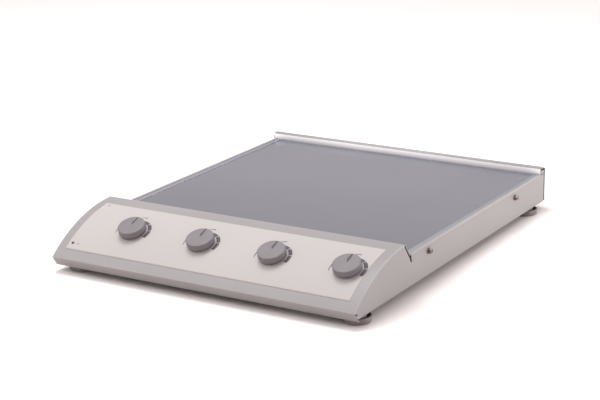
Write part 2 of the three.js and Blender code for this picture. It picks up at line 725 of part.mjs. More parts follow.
const ROCKER_PIVOT_Y = 313;
const ROCKER_TILT = (8 * Math.PI) / 180;
const ROCKER_HALF_W = WELL_HALF[0] - 0.4;
const rockerProfile = [
  [4, -7],
  [3.3, 0],
  [4, 7],
  [-1, 6.6],
  [-5, 2.5],
  [-5, -2.5],
  [-1, -6.6],
];
const rocker = sweepX(rockerProfile, -ROCKER_HALF_W, ROCKER_HALF_W);
rocker.rotateX(ROCKER_TILT);
rocker.translate(SWITCH_X, ROCKER_PIVOT_Y, INLET_Z);
put('switch_rocker', rocker, BLACK);

export default group;
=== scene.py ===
"""Sixteen position magnetic stirrer: the looks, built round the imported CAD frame.

Metres, same frame as the CAD: X to the right, Y to the rear, Z up, console at -Y.
"""
import json
import math

import bmesh
import bpy
from mathutils import Matrix, Vector


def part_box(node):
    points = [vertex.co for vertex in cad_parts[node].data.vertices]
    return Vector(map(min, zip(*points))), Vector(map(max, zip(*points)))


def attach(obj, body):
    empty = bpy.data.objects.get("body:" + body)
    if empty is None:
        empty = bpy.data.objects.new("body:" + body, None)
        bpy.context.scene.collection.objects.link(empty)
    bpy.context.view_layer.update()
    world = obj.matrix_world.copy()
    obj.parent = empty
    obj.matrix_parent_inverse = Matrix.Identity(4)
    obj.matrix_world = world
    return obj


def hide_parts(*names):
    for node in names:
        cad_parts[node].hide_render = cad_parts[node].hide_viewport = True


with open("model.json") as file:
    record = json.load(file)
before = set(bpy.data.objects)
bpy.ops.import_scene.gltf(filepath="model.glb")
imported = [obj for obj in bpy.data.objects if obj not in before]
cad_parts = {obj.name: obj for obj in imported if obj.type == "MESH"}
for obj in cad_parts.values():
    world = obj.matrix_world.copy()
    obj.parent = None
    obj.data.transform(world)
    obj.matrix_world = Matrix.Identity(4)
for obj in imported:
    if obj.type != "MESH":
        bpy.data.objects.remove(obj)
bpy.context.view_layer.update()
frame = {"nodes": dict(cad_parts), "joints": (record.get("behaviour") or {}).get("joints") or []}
MM = 0.001

# ------------------------------------------------------------------ sizes taken from the frame
plate_low, plate_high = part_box("work_plate")
panel_low, panel_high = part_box("side_panel_right")
cover_low, cover_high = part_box("console_cover")
HALF_W = cover_high.x
FRONT_Y = cover_low.y
SIDE_BOTTOM = panel_low.z
JOINTS = {j["name"]: j for j in frame["joints"]}

# Console arc: its centre and radius, as the CAD part has them.
ARC_Y = -169.8 * MM
ARC_Z = -152.4 * MM
ARC_R = 229.6 * MM
ARC_TOP_Y = -172.6 * MM
FLANGE_FOOT = (-157.7 * MM, 57.6 * MM)
LIP = (-307 * MM, cover_low.z)
LIP_BACK_Y = -303.4 * MM
SIDE_TOP = 58.3 * MM
FLANGE_W = 5 * MM
SHEET = 1.4 * MM
CHEEK_TOP_Y = -177 * MM
RIM_FRONT_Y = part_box("rear_rim")[0].y

# Side outline (y, z): the relief slit behind each cheek and the notch in the lower front corner.
SLIT = [
    (-162.2 * MM, 57.0 * MM),
    (-160.4 * MM, 55.6 * MM),
    (-156.6 * MM, 47.2 * MM),
    (-152.2 * MM, 46.5 * MM),
]
SLIT_TOP_Y = -154.8 * MM
NOTCH = [
    (-306.4 * MM, 12.5 * MM),
    (-313.2 * MM, 18.0 * MM),
    (-308.1 * MM, 20.2 * MM),
    (-316.1 * MM, 22.2 * MM),
]


def arc_angle(y):
    """Angle of a depth y on the console arc, from its crown towards the rear."""
    return math.asin((y - ARC_Y) / ARC_R)


def arc_point(angle, lift=0.0):
    """A point (y, z) of the console face at an angle, lifted outward."""
    r = ARC_R + lift
    return ARC_Y + r * math.sin(angle), ARC_Z + r * math.cos(angle)


def face_matrix(x, y):
    """Stands a part on the console face: local Z is the outward normal, local Y runs up the face."""
    angle = arc_angle(y)
    return Matrix.Translation((x, *arc_point(angle))) @ Matrix.Rotation(-angle, 4, "X")


# ------------------------------------------------------------------ shader helpers
class Shader:
    """A small wrapper that makes node materials short to write."""

    def __init__(self, name, rough, metal=0.0):
        self.material = bpy.data.materials.new(name)
        self.material.use_nodes = True
        self.tree = self.material.node_tree
        self.bsdf = self.tree.nodes["Principled BSDF"]
        self.bsdf.inputs["Roughness"].default_value = rough
        self.bsdf.inputs["Metallic"].default_value = metal
        self.place = self.add("ShaderNodeTexCoord").outputs["Object"]

    def add(self, kind, **values):
        node = self.tree.nodes.new(kind)
        for key, value in values.items():
            setattr(node, key, value)
        return node

    def link(self, a, b):
        self.tree.links.new(a, b)

    def noise(self, scale, detail=2.0, stretch=None, rough=0.5):
        node = self.add("ShaderNodeTexNoise")
        node.inputs["Scale"].default_value = scale
        node.inputs["Detail"].default_value = detail
        node.inputs["Roughness"].default_value = rough
        source = self.place
        if stretch is not None:
            mapping = self.add("ShaderNodeMapping")
            mapping.inputs["Scale"].default_value = stretch
            self.link(source, mapping.inputs["Vector"])
            source = mapping.outputs["Vector"]
        self.link(source, node.inputs["Vector"])
        return node.outputs["Fac"]

    def ramp(self, source, stops):
        node = self.add("ShaderNodeValToRGB")
        elements = node.color_ramp.elements
        while len(elements) < len(stops):
            elements.new(0.5)
        for element, (position, colour) in zip(elements, stops):
            element.position = position
            element.color = (*colour, 1.0)
        self.link(source, node.inputs["Fac"])
        return node.outputs["Color"]

    def range(self, source, low, high):
        node = self.add("ShaderNodeMapRange")
        node.inputs["To Min"].default_value = low
        node.inputs["To Max"].default_value = high
        self.link(source, node.inputs["Value"])
        return node.outputs["Result"]

    def mix(self, factor, a, b, mode="MIX"):
        node = self.add("ShaderNodeMix", data_type="RGBA", blend_type=mode)
        for value, slot in ((factor, 0), (a, 6), (b, 7)):
            if isinstance(value, bpy.types.NodeSocket):
                self.link(value, node.inputs[slot])
            elif slot == 0:
                node.inputs[slot].default_value = value
            else:
                node.inputs[slot].default_value = (*value, 1.0)
        return node.outputs[2]

    def colour(self, source):
        if isinstance(source, bpy.types.NodeSocket):
            self.link(source, self.bsdf.inputs["Base Color"])
        else:
            self.bsdf.inputs["Base Color"].default_value = (*source, 1.0)

    def roughness(self, source):
        self.link(source, self.bsdf.inputs["Roughness"])

    def bump(self, height, strength, distance):
        node = self.add("ShaderNodeBump")
        node.inputs["Strength"].default_value = strength
        node.inputs["Distance"].default_value = distance
        self.link(height, node.inputs["Height"])
        self.link(node.outputs["Normal"], self.bsdf.inputs["Normal"])


def shade(colour, factor):
    return tuple(c * factor for c in colour)


def powder_coat(name, colour, rough=0.42, gloss=0.0):
    """Satin powder coat: faint cloudiness, orange peel and fine pigment specks."""
    s = Shader(name, rough)
    s.bsdf.inputs["Coat Weight"].default_value = gloss
    s.bsdf.inputs["Coat Roughness"].default_value = 0.28
    s.bsdf.inputs["Specular IOR Level"].default_value = 0.3
    cloud = s.noise(9.0, 3.0)
    base = s.ramp(cloud, [(0.25, shade(colour, 0.965)), (0.75, shade(colour, 1.03))])
    specks = s.ramp(s.noise(2600.0, 1.0), [(0.62, (1, 1, 1)), (0.72, (0.9, 0.9, 0.9))])
    s.colour(s.mix(0.35, base, specks, "MULTIPLY"))
    s.roughness(s.range(s.noise(60.0, 3.0), rough - 0.06, rough + 0.06))
    s.bump(s.noise(900.0, 2.0), 0.12, 0.0002)
    return s.material


def label_film(name, colour):
    """Printed polyester overlay: even tone with a very fine velvet grain."""
    s = Shader(name, 0.6)
    s.bsdf.inputs["Specular IOR Level"].default_value = 0.3
    cloud = s.ramp(s.noise(6.0, 2.0), [(0.3, shade(colour, 0.98)), (0.7, shade(colour, 1.015))])
    grain = s.ramp(s.noise(3800.0, 1.0), [(0.4, (0.95, 0.95, 0.95)), (0.6, (1, 1, 1))])
    s.colour(s.mix(0.5, cloud, grain, "MULTIPLY"))
    s.roughness(s.range(s.noise(3000.0, 1.0), 0.54, 0.66))
    s.bump(s.noise(3000.0, 1.0), 0.06, 0.0001)
    return s.material


def moulded_plastic(name, colour, rough=0.45, grain=2200.0, strength=0.15):
    """Injection moulded plastic with a spark-eroded texture and slight tone changes."""
    s = Shader(name, rough)
    base = s.ramp(s.noise(60.0, 3.0), [(0.3, shade(colour, 0.95)), (0.7, shade(colour, 1.04))])
    s.colour(base)
    s.roughness(s.range(s.noise(grain, 2.0), rough - 0.07, rough + 0.07))
    s.bump(s.noise(grain, 2.0), strength, 0.0001)
    return s.material


def coated_plate(name, colour):
    """Smooth grey enamel-like coat over the plate: glossy, with faint haze and wipe marks."""
    s = Shader(name, 0.2)
    base = s.ramp(s.noise(5.0, 4.0), [(0.3, shade(colour, 0.96)), (0.7, shade(colour, 1.04))])
    pigment = s.ramp(s.noise(3000.0, 1.0), [(0.45, (0.93, 0.93, 0.94)), (0.6, (1, 1, 1))])
    s.colour(s.mix(0.5, base, pigment, "MULTIPLY"))
    haze = s.noise(14.0, 5.0, stretch=(1.0, 0.35, 1.0), rough=0.6)
    s.roughness(s.range(haze, 0.15, 0.27))
    s.bump(s.noise(700.0, 2.0), 0.04, 0.0001)
    return s.material


def metal(name, colour, rough=0.3, stretch=(1.0, 40.0, 40.0), scale=60.0):
    """Metal with a grain, which runs along one way unless the stretch is even."""
    s = Shader(name, rough, 1.0)
    lines = s.noise(scale, 4.0, stretch=stretch, rough=0.65)
    s.colour(s.ramp(lines, [(0.3, shade(colour, 0.86)), (0.7, shade(colour, 1.06))]))
    s.roughness(s.range(lines, rough - 0.08, rough + 0.1))
    s.bump(lines, 0.05, 0.0001)
    return s.material


def rubber(name, colour):
    """Moulded rubber: matt, dusty bloom in patches."""
    s = Shader(name, 0.75)
    bloom = s.noise(120.0, 4.0)
    s.colour(s.ramp(bloom, [(0.35, colour), (0.75, shade(colour, 1.35))]))
    s.roughness(s.range(s.noise(900.0, 2.0), 0.65, 0.88))
    s.bump(s.noise(1500.0, 2.0), 0.2, 0.0002)
    return s.material


PAINT = powder_coat("case_powder_coat", (0.305, 0.284, 0.287), 0.48, 0.06)
DARK_PAINT = powder_coat("rear_powder_coat", (0.05, 0.046, 0.048), 0.5)
LABEL = label_film("label_film", (0.478, 0.444, 0.434))
PRINT = label_film("label_print_grey", (0.11, 0.096, 0.116))
KNOB = moulded_plastic("knob_plastic", (0.186, 0.165, 0.176), 0.55)
KNOB_DARK = moulded_plastic("knob_pointer", (0.036, 0.031, 0.034), 0.75)
PLATE = coated_plate("plate_coat", (0.135, 0.135, 0.158))
STRIP = metal("frame_satin", (0.45, 0.458, 0.505), 0.4, stretch=(9.0, 9.0, 9.0))
SCREW = metal("screw_nickel", (0.44, 0.385, 0.34), 0.42)
# Dark steel for the side-screw washers: partly the washer's own tone, partly painted shade beside the
# screw head.
SHADED_WASHER_STEEL = metal("washer_steel_and_shade", (0.2, 0.17, 0.155), 0.4)
BROWN_STEEL = metal("side_screw_steel", (0.27, 0.21, 0.185), 0.5)
# Near-white coat for the rim's inner wall that faces the front: painted light on that wall.
WALL_LIGHT_PAINT = powder_coat("rim_wall_painted_light", (0.9, 0.88, 0.89), 0.4)
# Lighter, glossier coat for the rounded folds: a painted highlight along every fold.
FOLD_HIGHLIGHT_PAINT = powder_coat("fold_painted_highlight", (0.385, 0.358, 0.362), 0.44, 0.22)
# Near-black inside coat: partly the primer inside the sheet, partly painted shade so the slits and gaps
# read dark.
SHADE_PRIMER = powder_coat("inside_primer_and_shade", (0.045, 0.041, 0.041), 0.7)
ZINC = metal("zinc_sheet", (0.55, 0.56, 0.58), 0.4, stretch=(1.0, 1.0, 1.0), scale=90.0)
MAGNET = metal("magnet_steel", (0.4, 0.4, 0.42), 0.35)
RUBBER = rubber("foot_rubber", (0.17, 0.145, 0.15))
BELT = rubber("belt_rubber", (0.02, 0.02, 0.02))
BLACK = moulded_plastic("black_plastic", (0.02, 0.02, 0.021), 0.4)
BOARD = moulded_plastic("solder_mask", (0.02, 0.11, 0.05), 0.3)
LENS = moulded_plastic("indicator_lens", (0.02, 0.012, 0.012), 0.12, strength=0.02)
WHITE_PRINT = label_film("white_print", (0.75, 0.75, 0.75))

# ------------------------------------------------------------------ mesh helpers


def turn_outward(bm, axis):
    """Orients an open sheet so that its farthest face along axis looks that way."""
    bmesh.ops.recalc_face_normals(bm, faces=bm.faces)
    bm.normal_update()
    outer = max(bm.faces, key=lambda f: (round(f.calc_center_median().dot(axis), 5), f.calc_area()))
    if outer.normal.dot(axis) < 0:
        bmesh.ops.reverse_faces(bm, faces=bm.faces)


def object_from(bm, name, material, smooth=True, oriented=False):
    """Turns a bmesh into a scene object with one material."""
    mesh = bpy.data.meshes.new(name)
    if not oriented:
        bmesh.ops.recalc_face_normals(bm, faces=bm.faces)
    for f in bm.faces:
        f.smooth = smooth
    bm.to_mesh(mesh)
    bm.free()
    obj = bpy.data.objects.new(name, mesh)
    bpy.context.scene.collection.objects.link(obj)
    mesh.materials.append(material)
    return obj


def bevel(obj, width, segments=3, angle=30.0):
    """Rounds edges sharper than the angle and keeps large faces flat-looking."""
    mod = obj.modifiers.new("bevel", "BEVEL")
    mod.width = width
    mod.segments = segments
    mod.limit_method = "ANGLE"
    mod.angle_limit = math.radians(angle)
    mod.harden_normals = True


def even_flats(obj):
    """Keeps large faces flat-looking where they meet rounded folds."""
    flat = obj.modifiers.new("flat", "WEIGHTED_NORMAL")
    flat.mode = "FACE_AREA"
    flat.weight = 100
    flat.thresh = 0.001
    flat.keep_sharp = True


def box_mesh(name, low, high, material, width=0.0004, segments=3):
    bm = bmesh.new()
    size = Vector(high) - Vector(low)
    centre = (Vector(high) + Vector(low)) / 2
    bmesh.ops.create_cube(bm, size=1.0, matrix=Matrix.Translation(centre) @ Matrix.Diagonal((*size, 1.0)))
    obj = object_from(bm, name, material)
    if width:
        bevel(obj, width, segments)
    return obj


def lathe(name, profile, material, steps=96, matrix=None):
    """Turns (radius, height) points about local Z; the profile ends on the axis or where it starts."""
    bm = bmesh.new()
    rings = []
    for r, z in profile:
        if r < 1e-7:
            rings.append([bm.verts.new((0, 0, z))])
        else:
            ring = []
            for i in range(steps):
                a = 2 * math.pi * i / steps
                ring.append(bm.verts.new((r * math.cos(a), r * math.sin(a), z)))
            rings.append(ring)
    for low, high in zip(rings, rings[1:]):
        for i in range(steps):
            j = (i + 1) % steps
            corners = [low[i % len(low)], low[j % len(low)], high[j % len(high)], high[i % len(high)]]
            unique = list(dict.fromkeys(corners))
            if len(unique) > 2:
                bm.faces.new(unique)
    if matrix is not None:
        bm.transform(matrix)
    return object_from(bm, name, material)


def rounded(profile, radius, steps=4):
    """Rounds the inner corners of an open (r, z) profile with small arcs."""
    points = [Vector(p) for p in profile]
    out = [points[0]]
    for before, here, after in zip(points, points[1:], points[2:]):
        a = before - here
        b = after - here
        limit = min(radius, a.length * 0.45, b.length * 0.45)
        start = here + a.normalized() * limit
        end = here + b.normalized() * limit
        for i in range(steps + 1):
            t = i / steps
            out.append(start * (1 - t) ** 2 + here * 2 * t * (1 - t) + end * t**2)
    out.append(points[-1])
    return [(p.x, p.y) for p in out]


def cut(obj, cutter):
    """Subtracts cutter from obj for good and removes the cutter."""
    mod = obj.modifiers.new("cut", "BOOLEAN")
    mod.operation = "DIFFERENCE"
    mod.solver = "EXACT"
    mod.object = cutter
    bpy.context.view_layer.update()
    graph = bpy.context.evaluated_depsgraph_get()
    mesh = bpy.data.meshes.new_from_object(obj.evaluated_get(graph))
    obj.modifiers.clear()
    obj.data = mesh
    bpy.data.objects.remove(cutter)


def settle(obj, body, slot, *nodes):
    """Puts a finished piece on its body and hides the CAD nodes it stands for. The slot argument is not
    used.
    """
    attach(obj, body)
    if nodes:
        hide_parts(*nodes)


# ------------------------------------------------------------------ camera
AZIMUTH = 0.53839
ELEVATION = 0.29014
ROLL = -0.013476
CAMERA_PLACE = (1.26664, -2.15922, 0.80507)
FOCAL_MM = 102.915
SHIFT = (0.00319, 0.00332)


def make_camera():
    """A long lens, high beyond the right front corner."""
    back = Vector((
        math.sin(AZIMUTH) * math.cos(ELEVATION),
        -math.cos(AZIMUTH) * math.cos(ELEVATION),
        math.sin(ELEVATION),
    ))
    right = Vector((math.cos(AZIMUTH), math.sin(AZIMUTH), 0.0))
    up = back.cross(right)
    rolled_right = right * math.cos(ROLL) + up * math.sin(ROLL)
    rolled_up = up * math.cos(ROLL) - right * math.sin(ROLL)
    turn = Matrix((rolled_right, rolled_up, back)).transposed().to_4x4()
    data = bpy.data.cameras.new("camera")
    data.lens = FOCAL_MM
    data.sensor_width = 36.0
    data.sensor_fit = "HORIZONTAL"
    data.shift_x, data.shift_y = SHIFT
    data.clip_end = 50.0
    camera = bpy.data.objects.new("camera", data)
    camera.matrix_world = Matrix.Translation(CAMERA_PLACE) @ turn
    bpy.context.scene.collection.objects.link(camera)
    bpy.context.scene.camera = camera


def area_light(name, place, target, size, power, colour=(1.0, 1.0, 1.0)):
    data = bpy.data.lights.new(name, "AREA")
    data.shape = "RECTANGLE"
    data.size, data.size_y = size
    data.energy = power
    data.color = colour
    light = bpy.data.objects.new(name, data)
    light.location = place
    direction = Vector(target) - Vector(place)
    light.rotation_euler = direction.to_track_quat("-Z", "Y").to_euler()
    bpy.context.scene.collection.objects.link(light)
    return light


FLOOR_HALF = 14.0


def make_studio():
    """Pale floor, soft light from above, weaker fill lights and pale surroundings."""
    world = bpy.data.worlds.new("studio")
    world.use_nodes = True
    background = world.node_tree.nodes["Background"]
    background.inputs["Color"].default_value = (1.0, 0.94, 0.935, 1.0)
    background.inputs["Strength"].default_value = 0.68
    bpy.context.scene.world = world
    bpy.context.scene.view_settings.view_transform = "Standard"
    area_light("key", (-0.7, 0.25, 2.8), (0, 0, 0), (1.4, 1.4), 57, (0.98, 1.0, 1.0))
    area_light("front", (-1.7, -1.2, 2.3), (0, 0, 0), (1.2, 1.2), 27, (0.98, 1.0, 1.0))
    area_light("side", (2.8, 2.0, 0.5), (0, 0.3, 0.04), (1.2, 0.8), 51)
    rim_light = area_light("rim", (0.12, -0.35, 0.55), (0.12, 0.32, 0.05), (1.0, 0.2), 0.68)
    rim_light.data.spread = math.radians(56)
    rim_light.visible_camera = False
    bm = bmesh.new()
    bmesh.ops.create_grid(bm, x_segments=1, y_segments=1, size=FLOOR_HALF)
    s = Shader("studio_floor", 0.6)
    s.colour(s.ramp(s.noise(3.0, 2.0), [(0.3, (0.93, 0.878, 0.865)), (0.7, (0.95, 0.898, 0.885))]))
    floor = object_from(bm, "studio_floor", s.material, smooth=False)


make_camera()
make_studio()

# ------------------------------------------------------------------ the case
ARC_STEPS = 40
KNOB_Y = JOINTS["knob_1_turn"]["pos_m"][1]
KNOB_X = [JOINTS[f"knob_{i}_turn"]["pos_m"][0] for i in range(1, 5)]


def arc_line(y0, y1, steps):
    """Evenly turned points (y, z) of the console face between two depths."""
    a0 = arc_angle(y0)
    a1 = arc_angle(y1)
    return [arc_point(a0 + (a1 - a0) * i / steps) for i in range(steps + 1)]


BUSH_HOLE_R = 5.2 * MM
NUT_HOLE_R = 9.4 * MM
CUTTER_DEPTH = 20 * MM
FOLD_WIDTH = 3.9 * MM


def knob_hole(x, radius):
    """A cylinder through the console face at a knob, used as a cutter."""
    bm = bmesh.new()
    bmesh.ops.create_cone(
        bm,
        cap_ends=True,
        segments=48,
        radius1=radius,
        radius2=radius,
        depth=CUTTER_DEPTH,
        matrix=face_matrix(x, KNOB_Y),
    )
    return object_from(bm, "hole", PAINT)


def case_shell():
    """Console face, cheeks and side panels: one folded and welded sheet with rounded folds."""
    bm = bmesh.new()
    weight = bm.edges.layers.float.new("bevel_weight_edge")
    cheek = arc_line(FRONT_Y, CHEEK_TOP_Y, ARC_STEPS)
    crest = arc_point(arc_angle(ARC_TOP_Y))
    profile = [(LIP_BACK_Y, LIP[1]), LIP, *cheek, crest, FLANGE_FOOT]
    sides = {}
    for sign in (-1, 1):
        sides[sign] = [bm.verts.new((sign * HALF_W, y, z)) for y, z in profile]
    for i in range(len(profile) - 1):
        bm.faces.new((sides[-1][i], sides[1][i], sides[1][i + 1], sides[-1][i + 1]))
    first_arc = 2
    last_arc = first_arc + ARC_STEPS
    rear_y = panel_high.y
    for sign in (-1, 1):
        arc_verts = sides[sign][first_arc:last_arc + 1]
        slit = [bm.verts.new((sign * HALF_W, y, z)) for y, z in SLIT]
        top_front = bm.verts.new((sign * HALF_W, SLIT_TOP_Y, SIDE_TOP))
        top_rear = bm.verts.new((sign * HALF_W, rear_y, SIDE_TOP))
        low_rear = bm.verts.new((sign * HALF_W, rear_y, SIDE_BOTTOM))
        notch = [bm.verts.new((sign * HALF_W, y, z)) for y, z in NOTCH]
        corner = bm.verts.new((sign * HALF_W, RIM_FRONT_Y, SIDE_TOP))
        bm.faces.new([*arc_verts, *slit, top_front, corner, top_rear, low_rear, *notch])
        inner = sign * (HALF_W - FLANGE_W)
        flange_front = bm.verts.new((inner, SLIT_TOP_Y, SIDE_TOP))
        flange_rear = bm.verts.new((inner, RIM_FRONT_Y, SIDE_TOP))
        bm.faces.new((top_front, flange_front, flange_rear, corner))
        bm.edges.get((top_front, corner))[weight] = 0.33
        for a, b in zip(arc_verts, arc_verts[1:]):
            bm.edges.get((a, b))[weight] = 1.0
    # Folds across the width: the lower lip, the front tip and the crest.
    for index, softness in ((1, 0.27), (first_arc, 0.47), (last_arc + 1, 0.6)):
        bm.edges.get((sides[-1][index], sides[1][index]))[weight] = softness
    turn_outward(bm, Vector((1, 0, 0)))
    shell = object_from(bm, "case_shell", PAINT, oriented=True)
    fold = shell.modifiers.new("fold", "BEVEL")
    fold.limit_method = "WEIGHT"
    fold.width = FOLD_WIDTH
    fold.segments = 6
    fold.harden_normals = True
    fold.material = 2
    thick = shell.modifiers.new("thick", "SOLIDIFY")
    thick.thickness = SHEET
    thick.offset = -1
    thick.use_even_offset = True
    thick.material_offset = 1
    # After the outer paint: the inside, then the folds outside and inside. The outer folds take a lighter,
    # glossier coat, a painted highlight along each fold; the inner faces take a near-black primer that
    # also paints in the shade inside the case.
    for material in (SHADE_PRIMER, FOLD_HIGHLIGHT_PAINT, SHADE_PRIMER):
        shell.data.materials.append(material)
    for x in KNOB_X:
        cut(shell, knob_hole(x, BUSH_HOLE_R))
    shell.data.set_sharp_from_angle(angle=math.radians(40))
    even_flats(shell)
    settle(shell, "case", "case_paint", "console_cover", "side_panel_left", "side_panel_right")


case_shell()


# ------------------------------------------------------------------ things laid on the console face
def on_face(u, v, lift, x0, y0):
    """Maps a flat drawing (u across, v up the face) onto the curved face, lifted by a little."""
    return Vector((x0 + u, *arc_point(arc_angle(y0) + v / ARC_R, lift)))


def laid_grid(name, rows, material, lift, thickness, x0=0.0, y0=KNOB_Y):
    """A thin printed or stuck piece: rows of (u, v) points laid on the face and thickened."""
    bm = bmesh.new()
    grid = [[bm.verts.new(on_face(u, v, lift, x0, y0)) for u, v in row] for row in rows]
    for low, high in zip(grid, grid[1:]):
        for i in range(len(low) - 1):
            bm.faces.new((low[i], low[i + 1], high[i + 1], high[i]))
    turn_outward(bm, Vector((0, -0.3, 1)))
    obj = object_from(bm, name, material, oriented=True)
    thick = obj.modifiers.new("thick", "SOLIDIFY")
    thick.thickness = thickness
    thick.offset = -1
    return obj


LABEL_LIFT = 0.34 * MM
LABEL_THICK = 0.32 * MM
COLUMN_STEP = 11 * MM
label_low, label_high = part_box("control_label")


def face_v(y):
    """Distance up the face, from the knob line, of a depth y."""
    return (arc_angle(y) - arc_angle(KNOB_Y)) * ARC_R


def control_label():
    """The overlay: a thin film with rounded corners, following the face."""
    half = label_high.x
    v0 = face_v(label_low.y)
    v1 = face_v(label_high.y)
    radius = 1.0 * MM
    corner_steps = 6
    right = []
    for i in range(corner_steps + 1):
        t = math.pi / 2 * i / corner_steps
        right.append((half - radius + radius * math.sin(t), radius * (1 - math.cos(t))))
    left = [(-u, d) for u, d in reversed(right)]
    columns = [(x + side * COLUMN_STEP, 0.0) for x in KNOB_X for side in (-1, 0, 1)]
    edge = left + columns + right
    rows = []
    steps = 48
    for k in range(steps + 1):
        t = k / steps
        rows.append([(u, (v0 + d) * (1 - t) + (v1 - d) * t) for u, d in edge])
    film = laid_grid("label_film", rows, LABEL, LABEL_LIFT, LABEL_THICK)
    for x in KNOB_X:
        cut(film, knob_hole(x, NUT_HOLE_R))
    settle(film, "case", "label", "control_label")


control_label()

SCALE_OUTER = 27.5 * MM
SCALE_PARTS = 6
SCALE_SWEEP = 222.0
SCALE_GAP = 3.2
SCALE_NARROWEST = 0.7 * MM
SCALE_WIDEST = 5.4 * MM
SCALE_GROWTH = 0.034 * MM
PRINT_LIFT = LABEL_LIFT + 0.06 * MM
PRINT_THICK = 0.05 * MM


def scale_width(clock):
    """The wedge grows from a narrow low end until it reaches its full width."""
    return min(SCALE_WIDEST, SCALE_NARROWEST + (clock + SCALE_SWEEP / 2) * SCALE_GROWTH)


def knob_scale(index, x):
    """Segmented wedge scale round one knob, as thin printed pieces."""
    part = SCALE_SWEEP / SCALE_PARTS
    for k in range(SCALE_PARTS):
        start = -SCALE_SWEEP / 2 + k * part + SCALE_GAP / 2
        end = start + part - SCALE_GAP
        inner = []
        outer = []
        steps = 16
        for i in range(steps + 1):
            clock = start + (end - start) * i / steps
            a = math.radians(clock)
            r_in = SCALE_OUTER - scale_width(clock)
            inner.append((r_in * math.sin(a), r_in * math.cos(a)))
            outer.append((SCALE_OUTER * math.sin(a), SCALE_OUTER * math.cos(a)))
        piece = laid_grid(f"scale_{index}_{k + 1}", [inner, outer], PRINT, PRINT_LIFT, PRINT_THICK, x)
        settle(piece, "case", "label")


for number, knob_x in enumerate(KNOB_X, 1):
    knob_scale(number, knob_x)


# ------------------------------------------------------------------ knobs
KNOB_R = 20.6 * MM
KNOB_H = 12 * MM
KNOB_RECESS_R = 11.8 * MM
KNOB_SKIRT_Z = 1.0 * MM
KNOB_ROOF_Z = 5.4 * MM
GROOVE_HALF = 0.85 * MM
POINTER_HALF = 0.62 * MM


def knob(number, x):
    """Round knob: slight draft, rounded shoulder, engraved pointer, hollow underside."""
    outline = [
        (0, KNOB_ROOF_Z),
        (KNOB_RECESS_R, KNOB_ROOF_Z),
        (KNOB_RECESS_R, KNOB_SKIRT_Z),
        (KNOB_R - 1.9 * MM, KNOB_SKIRT_Z),
        (KNOB_R - 0.1 * MM, 3.4 * MM),
        (KNOB_R - 0.5 * MM, KNOB_H - 0.5 * MM),
        (KNOB_R - 2.6 * MM, KNOB_H),
        (0, KNOB_H),
    ]
    body = lathe(f"knob_cap_{number}", rounded(outline, 0.9 * MM, 5), KNOB, 128)
    groove = box_mesh(
        "groove",
        (-GROOVE_HALF, 2.4 * MM, KNOB_H - 0.9 * MM),
        (GROOVE_HALF, KNOB_R - 1.8 * MM, KNOB_H + 2 * MM),
        KNOB_DARK,
        0.0,
    )
    cut(body, groove)
    body.data.transform(face_matrix(x, KNOB_Y))
    line = box_mesh(
        f"knob_pointer_{number}",
        (-POINTER_HALF, 2.5 * MM, KNOB_H - 0.85 * MM),
        (POINTER_HALF, KNOB_R - 2.0 * MM, KNOB_H - 0.25 * MM),
        KNOB_DARK,
        0.1 * MM,
    )
    line.data.transform(face_matrix(x, KNOB_Y))
    settle(body, f"knob_body_{number}", "knob", f"knob_{number}")
    settle(line, f"knob_body_{number}", "knob")


for number, knob_x in enumerate(KNOB_X, 1):
    knob(number, knob_x)


# ------------------------------------------------------------------ deck, rim and rear
def swept_sheet(name, points, x0, x1, thickness, fold, material):
    """A bent sheet: a polyline (y, z) swept along X, its bends rounded, then thickened."""
    bm = bmesh.new()
    weight = bm.edges.layers.float.new("bevel_weight_edge")
    low = [bm.verts.new((x0, y, z)) for y, z in points]
    high = [bm.verts.new((x1, y, z)) for y, z in points]
    for i in range(len(points) - 1):
        bm.faces.new((low[i], high[i], high[i + 1], low[i + 1]))
    for i in range(1, len(points) - 1):
        bm.edges.get((low[i], high[i]))[weight] = 1.0
    turn_outward(bm, Vector((0, 0, 1)))
    obj = object_from(bm, name, material, oriented=True)
    bend = obj.modifiers.new("bend", "BEVEL")
    bend.limit_method = "WEIGHT"
    bend.width = fold
    bend.segments = 4
    bend.harden_normals = True
    thick = obj.modifiers.new("thick", "SOLIDIFY")
    thick.thickness = thickness
    thick.offset = -1
    return obj


def joined(name, objects):
    """Applies modifiers and joins several objects into one."""
    bpy.context.view_layer.update()
    graph = bpy.context.evaluated_depsgraph_get()
    bm = bmesh.new()
    material = objects[0].data.materials[0]
    for obj in objects:
        mesh = obj.evaluated_get(graph).to_mesh()
        mesh.transform(obj.matrix_world)
        bm.from_mesh(mesh)
    for obj in objects:
        bpy.data.objects.remove(obj)
    mesh = bpy.data.meshes.new(name)
    bm.to_mesh(mesh)
    bm.free()
    out = bpy.data.objects.new(name, mesh)
    bpy.context.scene.collection.objects.link(out)
    mesh.materials.append(material)
    return out


def refined(node, name, material, width, segments=2, angle=25.0):
    """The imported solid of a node, with its flats merged and its edges rounded."""
    bm = bmesh.new()
    bm.from_mesh(frame["nodes"][node].data)
    bmesh.ops.remove_doubles(bm, verts=bm.verts, dist=1e-6)
    bmesh.ops.dissolve_limit(bm, angle_limit=math.radians(0.6), verts=bm.verts, edges=bm.edges)
    obj = object_from(bm, name, material)
    bevel(obj, width, segments, angle)
    even_flats(obj)
    return obj


PLATE_GAP = 0.7 * MM


def work_plate():
    """The flat plate that the vessels stand on."""
    plate = box_mesh("work_plate_top", plate_low, plate_high, PLATE, 0.5 * MM, 3)
    settle(plate, "case", "plate", "work_plate")


